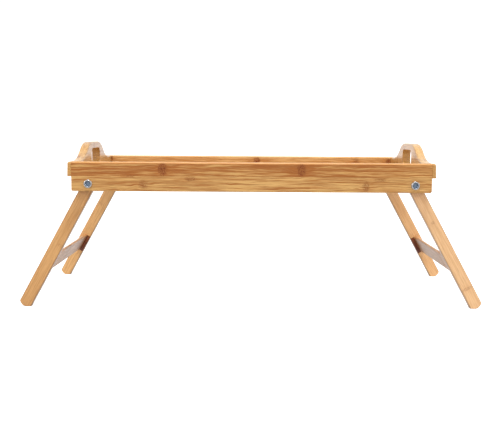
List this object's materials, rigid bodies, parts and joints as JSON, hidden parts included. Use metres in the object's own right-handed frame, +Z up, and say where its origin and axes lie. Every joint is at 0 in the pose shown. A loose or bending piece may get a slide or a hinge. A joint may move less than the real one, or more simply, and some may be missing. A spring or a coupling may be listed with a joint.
{
  "type": "folding tray table",
  "caption": "Bamboo bed tray: a framed panel with arched end handles on two splayed leg frames that fold flat under it.",
  "frame": {"origin": "on the floor under the middle of the tray, with both leg frames open", "axes": "+X along the length of the tray to the right, +Y from front to back, +Z up"},
  "size_m": [0.6434, 0.3036, 0.2275],
  "materials": {
    "bamboo_rail": "satin clear lacquer over carbonised bamboo",
    "bamboo_end_board": "satin clear lacquer",
    "bamboo_panel": "satin clear lacquer",
    "bamboo_leg": "satin clear lacquer",
    "bamboo_slat": "satin clear lacquer",
    "nickel_bolt": "bright nickel plate",
    "zinc_washer": "zinc plate",
    "zinc_nut": "zinc plate"
  },
  "bodies": {
    "tray": {"front_rail": "bamboo_rail", "back_rail": "bamboo_rail", "left_end_board": "bamboo_end_board", "right_end_board": "bamboo_end_board", "tray_panel": "bamboo_panel", "left_front_pivot_bolt": "nickel_bolt", "left_rear_pivot_bolt": "nickel_bolt", "right_front_pivot_bolt": "nickel_bolt", "right_rear_pivot_bolt": "nickel_bolt", "left_front_outer_washer": "zinc_washer", "left_rear_outer_washer": "zinc_washer", "right_front_outer_washer": "zinc_washer", "right_rear_outer_washer": "zinc_washer", "left_front_inner_washer": "zinc_washer", "left_rear_inner_washer": "zinc_washer", "right_front_inner_washer": "zinc_washer", "right_rear_inner_washer": "zinc_washer", "left_front_lock_nut": "zinc_nut", "left_rear_lock_nut": "zinc_nut", "right_front_lock_nut": "zinc_nut", "right_rear_lock_nut": "zinc_nut"},
    "left_leg_frame": {"left_front_leg": "bamboo_leg", "left_rear_leg": "bamboo_leg", "left_crossbar": "bamboo_slat"},
    "right_leg_frame": {"right_front_leg": "bamboo_leg", "right_rear_leg": "bamboo_leg", "right_crossbar": "bamboo_slat"}
  },
  "joints": [
    {"name": "left_leg_fold", "type": "hinge", "parent": "tray", "child": "left_leg_frame", "pos_m": [-0.222, 0, 0.1725], "axis": [0, -1, 0], "range_deg": [0, 118.7]},
    {"name": "right_leg_fold", "type": "hinge", "parent": "tray", "child": "right_leg_frame", "pos_m": [0.222, 0, 0.1725], "axis": [0, 1, 0], "range_deg": [0, 118.7]}
  ]
}
